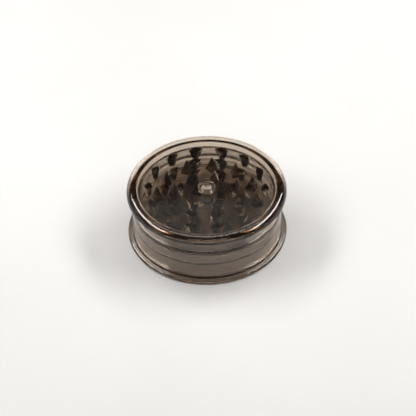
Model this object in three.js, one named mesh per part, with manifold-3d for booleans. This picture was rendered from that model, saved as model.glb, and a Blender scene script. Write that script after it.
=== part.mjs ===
// Three-piece hand grinder moulded in clear smoke plastic.
//
// A lid with downward teeth turns on a tray with upward teeth, and the tray lifts off a shallow
// storage base. A small disc magnet sits in a boss at the middle of the lid and of the tray.
// Millimetres, +Z up, origin at the centre of the flat underside.

import * as THREE from 'three';
import { mergeVertices } from 'three/addons/utils/BufferGeometryUtils.js';
import Module from 'manifold-3d';

// ---- driving dimensions ----
const FLANGE_RADIUS = 30;          // widest circle, on the lid and on the base
const WALL_RADIUS = 28;            // outside of the straight wall
const PLATE_THICKNESS = 1.6;       // floor of the base and of the tray
const LID_PLATE_THICKNESS = 1.5;
const CLEARANCE = 0.3;             // gap between pieces that touch
const SEGMENTS = 72;               // steps round every moulded shape
const MAGNET_SEGMENTS = 32;

// ---- heights, from the underside up ----
const FLANGE_THICKNESS = 1.6;
const BASE_SEAT_Z = 2.2;           // where the tray wall rests on the base
const SPIGOT_TOP_Z = 8.2;          // top of the base's upright ring, inside the tray wall
const TRAY_BOTTOM_Z = BASE_SEAT_Z + CLEARANCE;
const TRAY_SEAT_Z = 14.4;          // ledge under the lid's skirt
const TRAY_FLOOR_Z = 13.7;         // grinding floor
const TRAY_RING_TOP_Z = 19.2;      // top of the ring that centres the lid
const LID_SKIRT_Z = TRAY_SEAT_Z + CLEARANCE;
const LID_FLANGE_Z = 19.9;         // underside of the lid's flange
const LID_TOP_Z = 22.7;
const LID_CEILING_Z = LID_TOP_Z - LID_PLATE_THICKNESS;

// ---- radii ----
const BASE_FLARE = 0.4;            // how far the base's wall widens down to the flange
const SPIGOT_GAP = 0.35;           // between the base's upright ring and the tray wall
const SPIGOT_OUTER_RADIUS = 26.4;
const SPIGOT_INNER_RADIUS = 25.2;
const TRAY_WALL_INNER_RADIUS = SPIGOT_OUTER_RADIUS + SPIGOT_GAP;
const LID_SKIRT_INNER_RADIUS = 26.3;
const TRAY_RING_OUTER_RADIUS = LID_SKIRT_INNER_RADIUS - CLEARANCE;
const TRAY_RING_INNER_RADIUS = 24.8;
const LID_ROUND_RADIUS = 2.4;      // quarter round on the lid's top edge
const LID_INNER_FILLET = 0.5;      // between the lid's plate and its skirt
const SMALL_FILLET = 0.8;          // in the corners of the base and of the tray
const EDGE_CHAMFER = 0.25;         // on the two edges that meet at the lid's joint line

// ---- magnets and their bosses ----
const MAGNET_RADIUS = 1.75;
const MAGNET_HEIGHT = 1.8;
const MAGNET_SKIN = 0.6;           // plastic left between a magnet pocket and the outside
const POCKET_RADIUS = MAGNET_RADIUS + CLEARANCE;
const BOSS_RADIUS = 3.1;
const LID_POCKET_Z = LID_TOP_Z - MAGNET_SKIN;
const LID_BOSS_Z = LID_POCKET_Z - CLEARANCE - MAGNET_HEIGHT;
const TRAY_POCKET_Z = TRAY_FLOOR_Z - PLATE_THICKNESS + MAGNET_SKIN;
const TRAY_MAGNET_Z = TRAY_POCKET_Z + CLEARANCE;
const TRAY_BOSS_TOP_Z = TRAY_MAGNET_Z + MAGNET_HEIGHT;

// ---- teeth: four-sided, one corner pointing at the axis; tangential and radial half-widths ----
const LID_TOOTH = { height: 4.2, rootHalf: [2.7, 1.6], tipHalf: [1.4, 0.85] };
const TRAY_TOOTH = { height: 6.1, rootHalf: [2.7, 2.45], tipHalf: [0.12, 0.12] };
const TOOTH_ROOT_SINK = 0.5;       // how far a tooth's root is sunk in its plate
// Each ring: radius, number of teeth, and the turn of its first tooth from +Y towards +X, in degrees.
const LID_TURN = 2.9;
const LID_RINGS = [
  { radius: 21.8, count: 14, turn: LID_TURN + 180 / 14 },
  { radius: 15.6, count: 10, turn: LID_TURN + 180 / 10 },
  { radius: 9.7, count: 6, turn: LID_TURN + 180 / 6 },
];
const TRAY_RINGS = [
  { radius: 18.7, count: 12, turn: 7 },
  { radius: 12.6, count: 8, turn: 18 },
  { radius: 6.6, count: 4, turn: 58 },
];

const SMOKE = { color: 0x63574c, roughness: 0.12, metalness: 0.0, transparent: true, opacity: 0.5 };
const NICKEL = { color: 0xb9b2a6, roughness: 0.3, metalness: 1.0 };
const FERRITE = { color: 0x3b3b3b, roughness: 0.6, metalness: 0.0 };

const wasm = await Module();
wasm.setup();

function point(radius, height) {
  return new THREE.Vector2(radius, height);
}

// Points of a circular arc in the profile plane, both ends included.
function arc(centreR, centreZ, radius, fromDegrees, toDegrees, steps) {
  const points = [];
  for (let i = 0; i <= steps; i += 1) {
    const angle = THREE.MathUtils.degToRad(fromDegrees + ((toDegrees - fromDegrees) * i) / steps);
    points.push(point(centreR + radius * Math.cos(angle), centreZ + radius * Math.sin(angle)));
  }
  return points;
}

// Turns a profile round +Z.
function turned(profile, segments) {
  const geometry = new THREE.LatheGeometry(profile, segments);
  geometry.rotateX(Math.PI / 2);
  return geometry;
}

// Merges shared vertices and drops the triangles that collapse on the axis.
function weld(geometry) {
  const bare = geometry.clone();
  bare.deleteAttribute('normal');
  bare.deleteAttribute('uv');
  const merged = mergeVertices(bare);
  const kept = [];
  const index = merged.index.array;
  for (let i = 0; i < index.length; i += 3) {
    const [a, b, c] = [index[i], index[i + 1], index[i + 2]];
    if (a !== b && b !== c && c !== a) {
      kept.push(a, b, c);
    }
  }
  merged.setIndex(kept);
  return merged;
}

function toSolid(geometry) {
  const welded = weld(geometry);
  const vertProperties = new Float32Array(welded.attributes.position.array);
  const triVerts = new Uint32Array(welded.index.array);
  return new wasm.Manifold(new wasm.Mesh({ numProp: 3, vertProperties, triVerts }));
}

function toGeometry(solid) {
  const mesh = solid.getMesh();
  const geometry = new THREE.BufferGeometry();
  geometry.setAttribute('position', new THREE.BufferAttribute(new Float32Array(mesh.vertProperties), 3));
  geometry.setIndex(new THREE.BufferAttribute(new Uint32Array(mesh.triVerts), 1));
  geometry.computeVertexNormals();
  return geometry;
}

// One tooth, standing on z = 0 with its tip up: a four-sided frustum whose corners lie on X and Y.
function toothGeometry(shape) {
  const height = shape.height + TOOTH_ROOT_SINK;
  const geometry = new THREE.CylinderGeometry(1, 1, height, 4);
  geometry.rotateX(Math.PI / 2);
  const position = geometry.attributes.position;
  const slope = [0, 1].map((side) => (shape.rootHalf[side] - shape.tipHalf[side]) / shape.height);
  for (let i = 0; i < position.count; i += 1) {
    const isTip = position.getZ(i) > 0;
    const half = [0, 1].map((side) => (isTip
      ? shape.tipHalf[side]
      : shape.rootHalf[side] + slope[side] * TOOTH_ROOT_SINK));
    position.setX(i, position.getX(i) * half[0]);
    position.setY(i, position.getY(i) * half[1]);
    position.setZ(i, isTip ? shape.height : -TOOTH_ROOT_SINK);
  }
  return geometry;
}

// Adds rings of teeth to a turned body. direction is +1 for teeth that point up, -1 for down.
function withTeeth(body, rings, shape, rootZ, direction) {
  let solid = toSolid(body);
  for (const ring of rings) {
    for (let k = 0; k < ring.count; k += 1) {
      const turn = THREE.MathUtils.degToRad(ring.turn + (360 * k) / ring.count);
      const tooth = toothGeometry(shape);
      if (direction < 0) {
        tooth.rotateY(Math.PI);
      }
      tooth.rotateZ(-turn);
      tooth.translate(ring.radius * Math.sin(turn), ring.radius * Math.cos(turn), rootZ);
      solid = solid.add(toSolid(tooth));
    }
  }
  return toGeometry(solid);
}

// Dish with a thin rounded flange, a seat for the tray wall and an upright ring inside it.
function storageBase() {
  const edge = FLANGE_THICKNESS / 2;
  return turned([
    point(0, 0),
    ...arc(FLANGE_RADIUS - edge, edge, edge, -90, 90, 6),
    point(WALL_RADIUS + BASE_FLARE, FLANGE_THICKNESS),
    point(WALL_RADIUS, BASE_SEAT_Z),
    point(SPIGOT_OUTER_RADIUS, BASE_SEAT_Z),
    point(SPIGOT_OUTER_RADIUS, SPIGOT_TOP_Z),
    point(SPIGOT_INNER_RADIUS, SPIGOT_TOP_Z),
    ...arc(SPIGOT_INNER_RADIUS - SMALL_FILLET, PLATE_THICKNESS + SMALL_FILLET, SMALL_FILLET, 0, -90, 2),
    point(0, PLATE_THICKNESS),
  ], SEGMENTS);
}

// Wall and grinding floor with a centring ring, a magnet boss and upright teeth.
function grindingTray() {
  const undersideZ = TRAY_FLOOR_Z - PLATE_THICKNESS;
  const body = turned([
    point(0, undersideZ),
    ...arc(TRAY_WALL_INNER_RADIUS - SMALL_FILLET, undersideZ - SMALL_FILLET, SMALL_FILLET, 90, 0, 2),
    point(TRAY_WALL_INNER_RADIUS, TRAY_BOTTOM_Z),
    point(WALL_RADIUS, TRAY_BOTTOM_Z),
    point(WALL_RADIUS, TRAY_SEAT_Z - EDGE_CHAMFER),
    point(WALL_RADIUS - EDGE_CHAMFER, TRAY_SEAT_Z),
    point(TRAY_RING_OUTER_RADIUS, TRAY_SEAT_Z),
    point(TRAY_RING_OUTER_RADIUS, TRAY_RING_TOP_Z),
    point(TRAY_RING_INNER_RADIUS, TRAY_RING_TOP_Z),
    point(TRAY_RING_INNER_RADIUS, TRAY_FLOOR_Z),
    point(BOSS_RADIUS, TRAY_FLOOR_Z),
    point(BOSS_RADIUS, TRAY_BOSS_TOP_Z),
    point(POCKET_RADIUS, TRAY_BOSS_TOP_Z),
    point(POCKET_RADIUS, TRAY_POCKET_Z),
    point(0, TRAY_POCKET_Z),
  ], SEGMENTS);
  return withTeeth(body, TRAY_RINGS, TRAY_TOOTH, TRAY_FLOOR_Z, 1);
}

// Flat plate with a quarter-round flange, a skirt, a magnet boss and hanging teeth.
function lid() {
  const filletR = LID_SKIRT_INNER_RADIUS - LID_INNER_FILLET;
  const body = turned([
    point(0, LID_POCKET_Z),
    point(POCKET_RADIUS, LID_POCKET_Z),
    point(POCKET_RADIUS, LID_BOSS_Z),
    point(BOSS_RADIUS, LID_BOSS_Z),
    point(BOSS_RADIUS, LID_CEILING_Z),
    ...arc(filletR, LID_CEILING_Z - LID_INNER_FILLET, LID_INNER_FILLET, 90, 0, 4),
    point(LID_SKIRT_INNER_RADIUS, LID_SKIRT_Z),
    point(WALL_RADIUS - EDGE_CHAMFER, LID_SKIRT_Z),
    point(WALL_RADIUS, LID_SKIRT_Z + EDGE_CHAMFER),
    point(WALL_RADIUS, LID_FLANGE_Z),
    point(FLANGE_RADIUS, LID_FLANGE_Z),
    ...arc(FLANGE_RADIUS - LID_ROUND_RADIUS, LID_TOP_Z - LID_ROUND_RADIUS, LID_ROUND_RADIUS, 0, 90, 5),
    point(0, LID_TOP_Z),
  ], SEGMENTS);
  return withTeeth(body, LID_RINGS, LID_TOOTH, LID_CEILING_Z, -1);
}

function magnet(bottomZ) {
  const geometry = new THREE.CylinderGeometry(MAGNET_RADIUS, MAGNET_RADIUS, MAGNET_HEIGHT, MAGNET_SEGMENTS);
  geometry.rotateX(Math.PI / 2);
  geometry.translate(0, 0, bottomZ + MAGNET_HEIGHT / 2);
  return geometry;
}

function named(name, geometry, finish) {
  const mesh = new THREE.Mesh(geometry, new THREE.MeshStandardMaterial(finish));
  mesh.name = name;
  return mesh;
}

const grinder = new THREE.Group();
grinder.add(named('storage_base', storageBase(), SMOKE));
grinder.add(named('grinding_tray', grindingTray(), SMOKE));
grinder.add(named('tray_magnet', magnet(TRAY_MAGNET_Z), FERRITE));
grinder.add(named('lid', lid(), SMOKE));
grinder.add(named('lid_magnet', magnet(LID_BOSS_Z), NICKEL));

export default grinder;
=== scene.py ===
"""Looks of a three-piece smoke-plastic hand grinder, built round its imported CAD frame.

Every turned shell is rebuilt as a fine moulding with rounded edges, its teeth joined on, and given
a clear smoke plastic. Lengths are in metres, +Z up, origin at the centre of the underside.
"""

import math

import bmesh
import bpy
from mathutils import Matrix, Vector


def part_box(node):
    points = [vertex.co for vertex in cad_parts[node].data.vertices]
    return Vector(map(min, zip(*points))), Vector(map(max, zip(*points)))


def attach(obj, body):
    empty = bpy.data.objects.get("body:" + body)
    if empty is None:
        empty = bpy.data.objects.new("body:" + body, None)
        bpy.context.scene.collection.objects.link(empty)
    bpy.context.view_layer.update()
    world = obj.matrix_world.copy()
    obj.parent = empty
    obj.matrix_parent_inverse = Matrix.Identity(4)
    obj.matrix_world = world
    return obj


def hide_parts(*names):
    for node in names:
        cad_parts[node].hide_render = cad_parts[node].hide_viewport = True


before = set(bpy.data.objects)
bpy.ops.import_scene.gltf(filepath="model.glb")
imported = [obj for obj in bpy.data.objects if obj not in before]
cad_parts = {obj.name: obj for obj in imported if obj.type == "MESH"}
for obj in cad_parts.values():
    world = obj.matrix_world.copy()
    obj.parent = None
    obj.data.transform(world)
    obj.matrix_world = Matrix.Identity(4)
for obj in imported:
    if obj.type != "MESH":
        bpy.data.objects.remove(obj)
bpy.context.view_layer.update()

MM = 0.001

# ---- sizes read from the frame ----
LID_LOW, LID_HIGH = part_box("lid")
TRAY_LOW, TRAY_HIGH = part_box("grinding_tray")
_, BASE_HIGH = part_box("storage_base")
LID_MAGNET_LOW, LID_MAGNET_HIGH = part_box("lid_magnet")
TRAY_MAGNET_LOW, TRAY_MAGNET_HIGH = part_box("tray_magnet")

FLANGE_RADIUS = LID_HIGH.x
WALL_RADIUS = TRAY_HIGH.x
LID_TOP = LID_HIGH.z
LID_SKIRT = LID_LOW.z
TRAY_BOTTOM = TRAY_LOW.z
SPIGOT_TOP = BASE_HIGH.z
MAGNET_RADIUS = LID_MAGNET_HIGH.x

# ---- sizes that repeat the CAD's ----
CLEARANCE = 0.3 * MM
SPIGOT_GAP = 0.35 * MM                         # between the base's upright ring and the tray wall
PLATE = 1.6 * MM                               # floors of the tray and of the base
LID_CEILING = LID_TOP - 1.5 * MM
LID_FLANGE_UNDERSIDE = LID_TOP - 2.8 * MM
LID_ROUND = 2.4 * MM                           # quarter round on the lid's top edge
LID_FILLET = 0.5 * MM                          # inside, between plate and skirt
LID_SKIRT_INNER = 26.3 * MM
TRAY_SEAT = LID_SKIRT - CLEARANCE
TRAY_FLOOR = TRAY_SEAT - 0.7 * MM
TRAY_RING_TOP = TRAY_FLOOR + 5.5 * MM
TRAY_RING_OUTER = LID_SKIRT_INNER - CLEARANCE
TRAY_RING_INNER = 24.8 * MM
SPIGOT_OUTER = 26.4 * MM
SPIGOT_INNER = 25.2 * MM
TRAY_WALL_INNER = SPIGOT_OUTER + SPIGOT_GAP
BASE_SEAT = TRAY_BOTTOM - CLEARANCE
BASE_FLARE = 0.4 * MM                          # how far the base's wall widens down to the flange
POCKET_RADIUS = MAGNET_RADIUS + CLEARANCE
BOSS_RADIUS = 3.1 * MM

# ---- roundings, and a groove that the CAD leaves out ----
GROOVE = 0.4 * MM                              # snap groove in the tray wall, at the spigot's top
GROOVE_EDGE = 0.08 * MM
CRISP_EDGE = 0.1 * MM                          # from the sharpest rounding to the softest
LIP_EDGE = 0.15 * MM
MAGNET_EDGE = 0.2 * MM
SOFT_EDGE = 0.25 * MM
SPIGOT_EDGE = 0.3 * MM
BOSS_FILLET = 0.35 * MM
RING_TOP_EDGE = 0.55 * MM
FLANGE_EDGE = 0.48 * PLATE                     # nearly half round
DISH_FILLET = 0.8 * MM                         # in the corners of the base and under the tray floor

# ---- teeth: half-widths (tangential, radial) at root and tip ----
TOOTH_ROOT_SINK = 0.5 * MM
TOOTH_EDGE = 0.05 * MM                         # rounding of a tooth's edges
LID_TOOTH_HEIGHT = 4.2 * MM
LID_TOOTH_ROOT = (2.7 * MM, 1.6 * MM)
LID_TOOTH_TIP = (1.4 * MM, 0.85 * MM)
TRAY_TOOTH_HEIGHT = TRAY_HIGH.z - TRAY_FLOOR
TRAY_TOOTH_ROOT = (2.7 * MM, 2.45 * MM)
TRAY_TOOTH_TIP = (0.12 * MM, 0.12 * MM)
# Each ring: radius, number of teeth, and the turn of its first tooth from +Y towards +X, in degrees.
LID_TURN = 2.9
LID_RINGS = (
    (21.8 * MM, 14, LID_TURN + 180.0 / 14),
    (15.6 * MM, 10, LID_TURN + 180.0 / 10),
    (9.7 * MM, 6, LID_TURN + 180.0 / 6),
)
TRAY_RINGS = (
    (18.7 * MM, 12, 7.0),
    (12.6 * MM, 8, 18.0),
    (6.6 * MM, 4, 58.0),
)

# ---- mesh fineness ----
TURN_STEPS = 288
ARC_STEP_DEGREES = 12.0
BEVEL_SEGMENTS = 2
FACE_WEIGHT = 100                              # shading normals follow the largest faces
ON_AXIS = 1e-9                                 # a profile point nearer the axis than this is on it
SHARP_DEGREES = 35                             # edges above this angle are shaded sharp

# ---- smoke plastic ----
LEEWAY = 0.2 * MM                              # round the faces a finish is masked to
PLASTIC_IOR = 1.5
SMOKE_COLOUR = (0.7, 0.59, 0.46, 1.0)          # what the plastic lets through, by depth
SMOKE_DENSITY = 350.0                          # per metre
POLISHED = (0.015, 0.05)                       # ranges of roughness
SATIN = (0.17, 0.25)
CLOUDS = (90.0, 3.0)                           # noises: scale, in cycles per metre, and detail
GRAIN = (260.0, 4.0)
TOOTH_CLOUDS = (400.0, 4.0)
NOISE_MIDDLE = (0.3, 0.7)                      # where most of a noise's values lie
CLEAR_TINTS = ((0.3, (0.93, 0.92, 0.91)), (0.7, (0.98, 0.97, 0.96)))
WALL_TINTS = ((0.3, (0.8, 0.71, 0.64)), (0.7, (0.86, 0.78, 0.71)))
# painted shade: a dark brown for the teeth, the snap groove and the joint line
PAINTED_SHADE_TINTS = ((0.3, (0.07, 0.056, 0.044)), (0.7, (0.14, 0.115, 0.09)))
# Shares of the light that faces scatter instead of letting through.
WALL_HAZE = (0.42, 0.27)                       # upright walls, below and above the tray's floor
TOOTH_HAZE = (0.3, 0.75)                       # at the tray's floor and at the lid's plate
GAP_HAZE = 0.65                                # in the snap groove and the joint line, where shade is painted

# ---- magnets and floor ----
NICKEL_PATCHES = (1100.0, 3.0)
NICKEL_TINTS = ((0.35, (0.25, 0.22, 0.18)), (0.65, (0.75, 0.7, 0.62)))
NICKEL_ROUGHNESS = (0.25, 0.55)
NICKEL_PITS = (2500.0, 3.0)
# painted shade on the tray's magnet: a grey-black for a magnet that lies in shade
SHADED_MAGNET_GRAIN = (1800.0, 5.0)
SHADED_MAGNET_TINTS = ((0.3, (0.03, 0.03, 0.03)), (0.7, (0.075, 0.073, 0.07)))
SHADED_MAGNET_ROUGHNESS = (0.45, 0.65)
PIT_STRENGTH = 0.3
PIT_DEPTH = 0.03 * MM
FLOOR_CLOUDS = (8.0, 3.0)
FLOOR_TINTS = ((0.3, (0.41, 0.4, 0.39)), (0.7, (0.44, 0.43, 0.42)))
FLOOR_ROUGHNESS = 0.9
FLOOR_SIZE = 40.0
FLOOR_DROP = 0.02 * MM                         # below the underside, so that no faces coincide

# ---- lights: name, place, aim, size (across, along) and watts ----
LIGHTS = (
    ("softbox_left", (-0.28, 0.08, 0.34), (0.0, 0.0, 0.01), (0.5, 0.12), 2.8),
    ("softbox_right", (0.28, 0.08, 0.34), (0.0, 0.0, 0.01), (0.5, 0.12), 2.8),
    ("softbox_top", (0.0, 0.17, 0.5), (0.0, 0.06, 0.0), (0.36, 0.24), 0.9),
    ("softbox_front", (0.0, -0.36, 0.36), (0.0, 0.0, 0.01), (0.4, 0.15), 0.4),
    ("card_back", (0.0, 0.33, 0.56), (0.0, 0.0, 0.02), (0.5, 0.36), 0.13),
)
WORLD_COLOUR = (1.0, 0.985, 0.96, 1.0)
WORLD_STRENGTH = 0.06
CLEAR_BOUNCES = 32                             # of light, through clear walls
MIRROR_BOUNCES = 8
SPARKLE_CLAMP = 8.0                            # the brightest that a sample of indirect light can be
SPARKLE_BLUR = 0.5

# ---- camera ----
CAMERA_DISTANCE = 28.6 * FLANGE_RADIUS
CAMERA_ELEVATION = math.radians(42.17)
CAMERA_ROLL = math.radians(-1.25)
CAMERA_LENS = 197.4                            # millimetres, as is the sensor
CAMERA_SENSOR = 36.0
CAMERA_TARGET = Vector((0.37, -0.28, 11.54)) * MM


# ------------------------------------------------------------------ camera

def make_camera():
    data = bpy.data.cameras.new("camera")
    data.lens = CAMERA_LENS
    data.sensor_width = CAMERA_SENSOR
    camera = bpy.data.objects.new("camera", data)
    bpy.context.scene.collection.objects.link(camera)
    back = Vector((0.0, -math.cos(CAMERA_ELEVATION), math.sin(CAMERA_ELEVATION)))
    camera.location = CAMERA_TARGET + back * CAMERA_DISTANCE
    facing = (-back).to_track_quat("-Z", "Y").to_matrix().to_4x4()
    turn = facing @ Matrix.Rotation(CAMERA_ROLL, 4, "Z")
    camera.rotation_mode = "QUATERNION"
    camera.rotation_quaternion = turn.to_quaternion()
    bpy.context.scene.camera = camera


# ------------------------------------------------------------------ mesh helpers

def rounded(corners):
    """Profile points for (radius, height, rounding) corners. A corner with a rounding becomes an arc."""
    points = []
    last = len(corners) - 1
    for i, (r, z, rounding) in enumerate(corners):
        here = Vector((r, z))
        if i in (0, last) or rounding == 0.0:
            points.append(here)
            continue
        before = (Vector(corners[i - 1][:2]) - here).normalized()
        after = (Vector(corners[i + 1][:2]) - here).normalized()
        half_angle = before.angle(after) / 2
        centre = here + (before + after).normalized() * (rounding / math.sin(half_angle))
        start = here + before * (rounding / math.tan(half_angle)) - centre
        end = here + after * (rounding / math.tan(half_angle)) - centre
        sweep = start.angle(end)
        steps = max(2, math.ceil(math.degrees(sweep) / ARC_STEP_DEGREES))
        for k in range(steps + 1):
            t = k / steps
            blend = start * (math.sin((1 - t) * sweep) / math.sin(sweep))
            blend += end * (math.sin(t * sweep) / math.sin(sweep))
            points.append(centre + blend)
    return points


def turned_mesh(name, corners):
    """A closed mesh of revolution about Z. The profile runs from the axis, outwards, and back to it."""
    profile = rounded(corners)
    build = bmesh.new()
    rings = []
    for point in profile:
        if point.x < ON_AXIS:
            rings.append([build.verts.new((0.0, 0.0, point.y))])
            continue
        ring = []
        for k in range(TURN_STEPS):
            angle = 2 * math.pi * k / TURN_STEPS
            ring.append(build.verts.new((point.x * math.cos(angle), point.x * math.sin(angle), point.y)))
        rings.append(ring)
    for lower, upper in zip(rings, rings[1:]):
        for k in range(TURN_STEPS):
            n = (k + 1) % TURN_STEPS
            if len(lower) == 1:
                build.faces.new((lower[0], upper[n], upper[k]))
            elif len(upper) == 1:
                build.faces.new((lower[k], lower[n], upper[0]))
            else:
                build.faces.new((lower[k], lower[n], upper[n], upper[k]))
    mesh = bpy.data.meshes.new(name)
    build.to_mesh(mesh)
    build.free()
    return mesh


def tooth_mesh(height, root_half, tip_half):
    """One tooth with softened edges, root sunk below z = 0, tip up, a corner towards +Y and -Y."""
    build = bmesh.new()
    slope = [(root - tip) / height for root, tip in zip(root_half, tip_half)]
    sunk_half = [root + s * TOOTH_ROOT_SINK for root, s in zip(root_half, slope)]
    levels = []
    for half, z in ((sunk_half, -TOOTH_ROOT_SINK), (tip_half, height)):
        corners = ((half[0], 0.0), (0.0, half[1]), (-half[0], 0.0), (0.0, -half[1]))
        levels.append([build.verts.new((x, y, z)) for x, y in corners])
    root, tip = levels
    build.faces.new(list(reversed(root)))
    build.faces.new(tip)
    for k in range(4):
        n = (k + 1) % 4
        build.faces.new((root[k], root[n], tip[n], tip[k]))
    above_root = [edge for edge in build.edges if any(v.co.z > 0 for v in edge.verts)]
    bmesh.ops.bevel(
        build, geom=above_root, offset=TOOTH_EDGE, offset_type="OFFSET", segments=BEVEL_SEGMENTS,
        profile=0.5, affect="EDGES", clamp_overlap=True,
    )
    mesh = bpy.data.meshes.new("tooth")
    build.to_mesh(mesh)
    build.free()
    return mesh


def rings_of_teeth(name, tooth, rings, root_z, points_up):
    """A mesh of copies of a tooth on circles, each copy with a corner towards the axis."""
    flip = Matrix.Identity(4) if points_up else Matrix.Rotation(math.pi, 4, "Y")
    build = bmesh.new()
    for radius, count, first_turn in rings:
        for k in range(count):
            turn = math.radians(first_turn + 360.0 * k / count)
            place = Matrix.Translation((radius * math.sin(turn), radius * math.cos(turn), root_z))
            copy = tooth.copy()
            copy.transform(place @ Matrix.Rotation(-turn, 4, "Z") @ flip)
            build.from_mesh(copy)
            bpy.data.meshes.remove(copy)
    mesh = bpy.data.meshes.new(name)
    build.to_mesh(mesh)
    build.free()
    return mesh


def link(name, mesh):
    piece = bpy.data.objects.new(name, mesh)
    bpy.context.scene.collection.objects.link(piece)
    return piece


def join_teeth(piece, teeth_mesh):
    """Fuses teeth into a shell, so that light meets no wall where a tooth grows out of it."""
    teeth = link("teeth_cutter", teeth_mesh)
    union = piece.modifiers.new("teeth", "BOOLEAN")
    union.operation = "UNION"
    union.solver = "MANIFOLD"
    union.object = teeth
    evaluated = piece.evaluated_get(bpy.context.evaluated_depsgraph_get())
    joined = bpy.data.meshes.new_from_object(evaluated)
    piece.modifiers.clear()
    piece.data = joined
    bpy.data.objects.remove(teeth)


def smooth(piece):
    """Smooth shading that keeps flat faces flat and sharp edges sharp."""
    piece.data.polygons.foreach_set("use_smooth", [True] * len(piece.data.polygons))
    piece.data.set_sharp_from_angle(angle=math.radians(SHARP_DEGREES))
    weighted = piece.modifiers.new("weighted_normal", "WEIGHTED_NORMAL")
    weighted.keep_sharp = True
    weighted.weight = FACE_WEIGHT


# ------------------------------------------------------------------ materials

def new_material(name):
    material = bpy.data.materials.new(name)
    material.use_nodes = True
    tree = material.node_tree
    tree.nodes.clear()
    output = tree.nodes.new("ShaderNodeOutputMaterial")
    shader = tree.nodes.new("ShaderNodeBsdfPrincipled")
    tree.links.new(shader.outputs["BSDF"], output.inputs["Surface"])
    return material, tree, shader, output


def object_coords(tree):
    return tree.nodes.new("ShaderNodeTexCoord").outputs["Object"]


def noise(tree, scale_and_detail, coords):
    node = tree.nodes.new("ShaderNodeTexNoise")
    node.inputs["Scale"].default_value, node.inputs["Detail"].default_value = scale_and_detail
    tree.links.new(coords, node.inputs["Vector"])
    return node.outputs["Fac"]


def ramp(tree, value, stops):
    """Turns a value into a colour between two stops, each a position and a colour."""
    node = tree.nodes.new("ShaderNodeValToRGB")
    elements = node.color_ramp.elements
    for element, (position, colour) in zip(elements, stops):
        element.position = position
        element.color = (*colour, 1.0)
    tree.links.new(value, node.inputs["Fac"])
    return node.outputs["Color"]


def mapped(tree, value, source, target):
    """Maps a value from the source range to the target range, clamped."""
    node = tree.nodes.new("ShaderNodeMapRange")
    node.inputs["From Min"].default_value, node.inputs["From Max"].default_value = source
    node.inputs["To Min"].default_value, node.inputs["To Max"].default_value = target
    tree.links.new(value, node.inputs["Value"])
    return node.outputs["Result"]


def spread(tree, noise_value, target):
    """Spreads the middle of a noise over the target range."""
    return mapped(tree, noise_value, NOISE_MIDDLE, target)


def pitted(tree, height):
    """A normal with fine shallow pits."""
    node = tree.nodes.new("ShaderNodeBump")
    node.inputs["Strength"].default_value = PIT_STRENGTH
    node.inputs["Distance"].default_value = PIT_DEPTH
    tree.links.new(height, node.inputs["Height"])
    return node.outputs["Normal"]


def math_node(tree, operation, *values):
    """A math node; each value is a socket or a plain number."""
    node = tree.nodes.new("ShaderNodeMath")
    node.operation = operation
    for socket, value in zip(node.inputs, values):
        if isinstance(value, float):
            socket.default_value = value
        else:
            tree.links.new(value, socket)
    return node.outputs["Value"]


def between(tree, value, low, high):
    """1 where a value lies between two limits, else 0."""
    over = math_node(tree, "GREATER_THAN", value, low)
    under = math_node(tree, "LESS_THAN", value, high)
    return math_node(tree, "MULTIPLY", over, under)


def radius_and_height(tree, coords):
    axes = tree.nodes.new("ShaderNodeSeparateXYZ")
    tree.links.new(coords, axes.inputs["Vector"])
    x_squared = math_node(tree, "POWER", axes.outputs["X"], 2.0)
    y_squared = math_node(tree, "POWER", axes.outputs["Y"], 2.0)
    radius = math_node(tree, "SQRT", math_node(tree, "ADD", x_squared, y_squared))
    return radius, axes.outputs["Z"]


def mixed(tree, kind, factor, low, high):
    """Mixes two sockets: low where factor is 0, high where it is 1."""
    node = tree.nodes.new("ShaderNodeMix")
    node.data_type = kind
    # The node has sockets of the same names for each kind, so they are told apart by number.
    a_socket, b_socket, result = {"FLOAT": (2, 3, 0), "RGBA": (6, 7, 2)}[kind]
    tree.links.new(factor, node.inputs[0])
    tree.links.new(low, node.inputs[a_socket])
    tree.links.new(high, node.inputs[b_socket])
    return node.outputs[result]


def wall_mask(tree, radius, height):
    """1 on the upright inner faces of the base and of the tray."""
    ring = between(tree, radius, TRAY_RING_INNER - LEEWAY, SPIGOT_INNER + LEEWAY)
    wall = between(tree, radius, TRAY_WALL_INNER - LEEWAY, TRAY_WALL_INNER + GROOVE / 4)
    span = between(tree, height, PLATE + LEEWAY, TRAY_RING_TOP - LEEWAY)
    return math_node(tree, "MULTIPLY", math_node(tree, "MAXIMUM", ring, wall), span)


def tooth_mask(tree, radius, height):
    """1 on the faces of the teeth, between the two plates they grow from, where shade is painted."""
    toothed = between(tree, radius, BOSS_RADIUS + LEEWAY, TRAY_RING_INNER - 2 * LEEWAY)
    chamber = between(tree, height, TRAY_FLOOR + LEEWAY, LID_CEILING - LEEWAY)
    return math_node(tree, "MULTIPLY", toothed, chamber)


def gap_mask(tree, radius, height):
    """1 in the snap groove, and on the two faces that meet at the joint line under the lid, where shade
    is painted.
    """
    recess = between(tree, radius, TRAY_WALL_INNER + GROOVE / 4, TRAY_WALL_INNER + 2 * GROOVE)
    level = between(tree, height, SPIGOT_TOP - 2 * GROOVE, SPIGOT_TOP + 2 * GROOVE)
    groove = math_node(tree, "MULTIPLY", recess, level)
    meeting = between(tree, height, TRAY_SEAT - LEEWAY / 2, LID_SKIRT + LEEWAY / 2)
    ledge = between(tree, radius, TRAY_RING_OUTER + LEEWAY, WALL_RADIUS)
    seam = math_node(tree, "MULTIPLY", meeting, ledge)
    return math_node(tree, "MAXIMUM", groove, seam)


def smoke_colour(tree, coords, low_walls, painted_shade_faces):
    """Clear where light passes, brown on the walls below the tray's floor, painted shade on the teeth,
    the snap groove and the joint line.
    """
    clouds = noise(tree, CLOUDS, coords)
    clear = ramp(tree, clouds, CLEAR_TINTS)
    stained = ramp(tree, clouds, WALL_TINTS)
    # painted shade, cloudy
    dark = ramp(tree, noise(tree, TOOTH_CLOUDS, coords), PAINTED_SHADE_TINTS)
    shell = mixed(tree, "RGBA", low_walls, clear, stained)
    return mixed(tree, "RGBA", painted_shade_faces, shell, dark)


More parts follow.
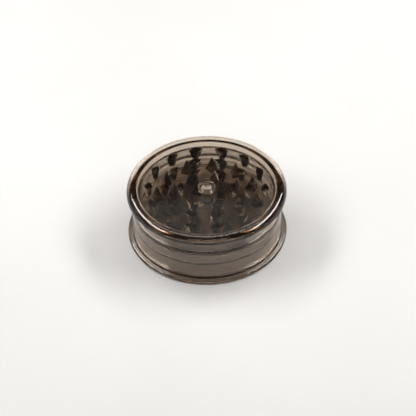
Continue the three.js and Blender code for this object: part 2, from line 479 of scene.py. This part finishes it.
def smoke_haze(tree, height, walls, teeth, gaps):
    """The share of light that each face scatters."""
    wall_haze = mapped(tree, height, (TRAY_FLOOR - PLATE, TRAY_FLOOR), WALL_HAZE)
    tooth_haze = mapped(tree, height, (TRAY_FLOOR, LID_CEILING), TOOTH_HAZE)
    haze = math_node(tree, "MULTIPLY", teeth, tooth_haze)
    haze = math_node(tree, "ADD", haze, math_node(tree, "MULTIPLY", walls, wall_haze))
    return math_node(tree, "ADD", haze, math_node(tree, "MULTIPLY", gaps, GAP_HAZE))


def smoke_plastic():
    """Clear smoke-brown moulding: tinted by depth, hazy on its inner walls, with painted shade on its
    teeth, snap groove and joint line.
    """
    material, tree, shader, output = new_material("smoke_plastic")
    coords = object_coords(tree)
    radius, height = radius_and_height(tree, coords)
    walls = wall_mask(tree, radius, height)
    teeth = tooth_mask(tree, radius, height)
    gaps = gap_mask(tree, radius, height)
    low_walls = math_node(tree, "MULTIPLY", walls, math_node(tree, "LESS_THAN", height, TRAY_FLOOR))
    # shade is painted on the teeth, in the snap groove and on the joint line
    painted_shade_faces = math_node(tree, "MAXIMUM", teeth, gaps)

    colour = smoke_colour(tree, coords, low_walls, painted_shade_faces)
    tree.links.new(colour, shader.inputs["Base Color"])

    grain = noise(tree, GRAIN, coords)
    roughness = mixed(tree, "FLOAT", walls, spread(tree, grain, POLISHED), spread(tree, grain, SATIN))
    tree.links.new(roughness, shader.inputs["Roughness"])

    clarity = math_node(tree, "SUBTRACT", 1.0, smoke_haze(tree, height, walls, teeth, gaps))
    tree.links.new(clarity, shader.inputs["Transmission Weight"])

    shader.inputs["IOR"].default_value = PLASTIC_IOR
    depth = tree.nodes.new("ShaderNodeVolumeAbsorption")
    depth.inputs["Color"].default_value = SMOKE_COLOUR
    depth.inputs["Density"].default_value = SMOKE_DENSITY
    tree.links.new(depth.outputs["Volume"], output.inputs["Volume"])
    return material


def nickel():
    """Dull nickel plate with cloudy patches."""
    material, tree, shader, _ = new_material("magnet_nickel")
    coords = object_coords(tree)
    shader.inputs["Metallic"].default_value = 1.0
    patches = noise(tree, NICKEL_PATCHES, coords)
    tree.links.new(ramp(tree, patches, NICKEL_TINTS), shader.inputs["Base Color"])
    tree.links.new(spread(tree, patches, NICKEL_ROUGHNESS), shader.inputs["Roughness"])
    tree.links.new(pitted(tree, noise(tree, NICKEL_PITS, coords)), shader.inputs["Normal"])
    return material


def painted_shade_magnet():
    """Grey-black with a fine grain: painted shade on the tray's magnet, which lies in shade under the
    lid's.
    """
    material, tree, shader, _ = new_material("magnet_ferrite")
    grain = noise(tree, SHADED_MAGNET_GRAIN, object_coords(tree))
    tree.links.new(ramp(tree, grain, SHADED_MAGNET_TINTS), shader.inputs["Base Color"])
    tree.links.new(spread(tree, grain, SHADED_MAGNET_ROUGHNESS), shader.inputs["Roughness"])
    tree.links.new(pitted(tree, grain), shader.inputs["Normal"])
    return material


def floor_material():
    material, tree, shader, _ = new_material("floor")
    colour = ramp(tree, noise(tree, FLOOR_CLOUDS, object_coords(tree)), FLOOR_TINTS)
    tree.links.new(colour, shader.inputs["Base Color"])
    shader.inputs["Roughness"].default_value = FLOOR_ROUGHNESS
    return material


# ------------------------------------------------------------------ pieces

def finish_piece(piece, material, body, node):
    piece.data.materials.clear()
    piece.data.materials.append(material)
    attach(piece, body)
    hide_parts(node)


def storage_base(material):
    piece = link("storage_base_moulding", turned_mesh("storage_base_moulding", (
        (0.0, 0.0, 0.0),
        (FLANGE_RADIUS, 0.0, FLANGE_EDGE),
        (FLANGE_RADIUS, PLATE, FLANGE_EDGE),
        (WALL_RADIUS + BASE_FLARE, PLATE, SOFT_EDGE),
        (WALL_RADIUS, BASE_SEAT, CRISP_EDGE),
        (SPIGOT_OUTER, BASE_SEAT, LIP_EDGE),
        (SPIGOT_OUTER, SPIGOT_TOP, SPIGOT_EDGE),
        (SPIGOT_INNER, SPIGOT_TOP, LIP_EDGE),
        (SPIGOT_INNER, PLATE, DISH_FILLET),
        (0.0, PLATE, 0.0),
    )))
    smooth(piece)
    finish_piece(piece, material, "base", "storage_base")


def grinding_tray(material):
    underside = TRAY_FLOOR - PLATE
    boss_top = TRAY_MAGNET_HIGH.z
    pocket = TRAY_MAGNET_LOW.z - CLEARANCE
    piece = link("grinding_tray_moulding", turned_mesh("grinding_tray_moulding", (
        (0.0, underside, 0.0),
        (TRAY_WALL_INNER, underside, DISH_FILLET),
        (TRAY_WALL_INNER, SPIGOT_TOP + GROOVE, 0.0),
        (TRAY_WALL_INNER + GROOVE, SPIGOT_TOP + GROOVE, GROOVE_EDGE),
        (TRAY_WALL_INNER + GROOVE, SPIGOT_TOP - GROOVE, GROOVE_EDGE),
        (TRAY_WALL_INNER, SPIGOT_TOP - GROOVE, 0.0),
        (TRAY_WALL_INNER, TRAY_BOTTOM, CRISP_EDGE),
        (WALL_RADIUS, TRAY_BOTTOM, CRISP_EDGE),
        (WALL_RADIUS, TRAY_SEAT, SOFT_EDGE),
        (TRAY_RING_OUTER, TRAY_SEAT, CRISP_EDGE),
        (TRAY_RING_OUTER, TRAY_RING_TOP, RING_TOP_EDGE),
        (TRAY_RING_INNER, TRAY_RING_TOP, RING_TOP_EDGE),
        (TRAY_RING_INNER, TRAY_FLOOR, SOFT_EDGE),
        (BOSS_RADIUS, TRAY_FLOOR, BOSS_FILLET),
        (BOSS_RADIUS, boss_top, SOFT_EDGE),
        (POCKET_RADIUS, boss_top, LIP_EDGE),
        (POCKET_RADIUS, pocket, CRISP_EDGE),
        (0.0, pocket, 0.0),
    )))
    tooth = tooth_mesh(TRAY_TOOTH_HEIGHT, TRAY_TOOTH_ROOT, TRAY_TOOTH_TIP)
    join_teeth(piece, rings_of_teeth("tray_teeth", tooth, TRAY_RINGS, TRAY_FLOOR, points_up=True))
    smooth(piece)
    finish_piece(piece, material, "tray", "grinding_tray")


def lid(material):
    boss_bottom = LID_MAGNET_LOW.z
    pocket = LID_MAGNET_HIGH.z + CLEARANCE
    piece = link("lid_moulding", turned_mesh("lid_moulding", (
        (0.0, pocket, 0.0),
        (POCKET_RADIUS, pocket, CRISP_EDGE),
        (POCKET_RADIUS, boss_bottom, LIP_EDGE),
        (BOSS_RADIUS, boss_bottom, SOFT_EDGE),
        (BOSS_RADIUS, LID_CEILING, BOSS_FILLET),
        (LID_SKIRT_INNER, LID_CEILING, LID_FILLET),
        (LID_SKIRT_INNER, LID_SKIRT, CRISP_EDGE),
        (WALL_RADIUS, LID_SKIRT, SOFT_EDGE),
        (WALL_RADIUS, LID_FLANGE_UNDERSIDE, SOFT_EDGE),
        (FLANGE_RADIUS, LID_FLANGE_UNDERSIDE, SOFT_EDGE),
        (FLANGE_RADIUS, LID_TOP, LID_ROUND),
        (0.0, LID_TOP, 0.0),
    )))
    tooth = tooth_mesh(LID_TOOTH_HEIGHT, LID_TOOTH_ROOT, LID_TOOTH_TIP)
    join_teeth(piece, rings_of_teeth("lid_teeth", tooth, LID_RINGS, LID_CEILING, points_up=False))
    smooth(piece)
    finish_piece(piece, material, "lid", "lid")


def magnet(name, low, high, material, body, node):
    piece = link(name, turned_mesh(name, (
        (0.0, low.z, 0.0),
        (MAGNET_RADIUS, low.z, MAGNET_EDGE),
        (MAGNET_RADIUS, high.z, MAGNET_EDGE),
        (0.0, high.z, 0.0),
    )))
    smooth(piece)
    finish_piece(piece, material, body, node)


# ------------------------------------------------------------------ stage

def make_floor():
    bpy.ops.mesh.primitive_plane_add(size=FLOOR_SIZE, location=(0.0, 0.0, -FLOOR_DROP))
    floor = bpy.context.object
    floor.name = "floor"
    floor.data.materials.append(floor_material())


def area_light(name, place, aim, size, power):
    data = bpy.data.lights.new(name, "AREA")
    data.shape = "RECTANGLE"
    data.size, data.size_y = size
    data.energy = power
    light = bpy.data.objects.new(name, data)
    bpy.context.scene.collection.objects.link(light)
    light.location = place
    light.rotation_mode = "QUATERNION"
    light.rotation_quaternion = (Vector(aim) - Vector(place)).to_track_quat("-Z", "Y")


def studio_light():
    world = bpy.data.worlds.new("studio")
    world.use_nodes = True
    background = world.node_tree.nodes["Background"]
    background.inputs["Color"].default_value = WORLD_COLOUR
    background.inputs["Strength"].default_value = WORLD_STRENGTH
    bpy.context.scene.world = world
    for light in LIGHTS:
        area_light(*light)


def light_paths():
    """Enough bounces for the many clear walls, and no sparkles from light that they focus."""
    scene = bpy.context.scene
    scene.view_settings.view_transform = "Standard"
    scene.cycles.max_bounces = CLEAR_BOUNCES
    scene.cycles.transmission_bounces = CLEAR_BOUNCES
    scene.cycles.glossy_bounces = MIRROR_BOUNCES
    scene.cycles.sample_clamp_indirect = SPARKLE_CLAMP
    scene.cycles.blur_glossy = SPARKLE_BLUR


make_camera()
plastic = smoke_plastic()
storage_base(plastic)
grinding_tray(plastic)
lid(plastic)
# the tray's magnet gets a grey-black of painted shade
magnet(
    "tray_magnet_disc", TRAY_MAGNET_LOW, TRAY_MAGNET_HIGH, painted_shade_magnet(),
    "tray_core", "tray_magnet",
)
magnet(
    "lid_magnet_disc", LID_MAGNET_LOW, LID_MAGNET_HIGH, nickel(),
    "lid_core", "lid_magnet",
)
make_floor()
studio_light()
light_paths()
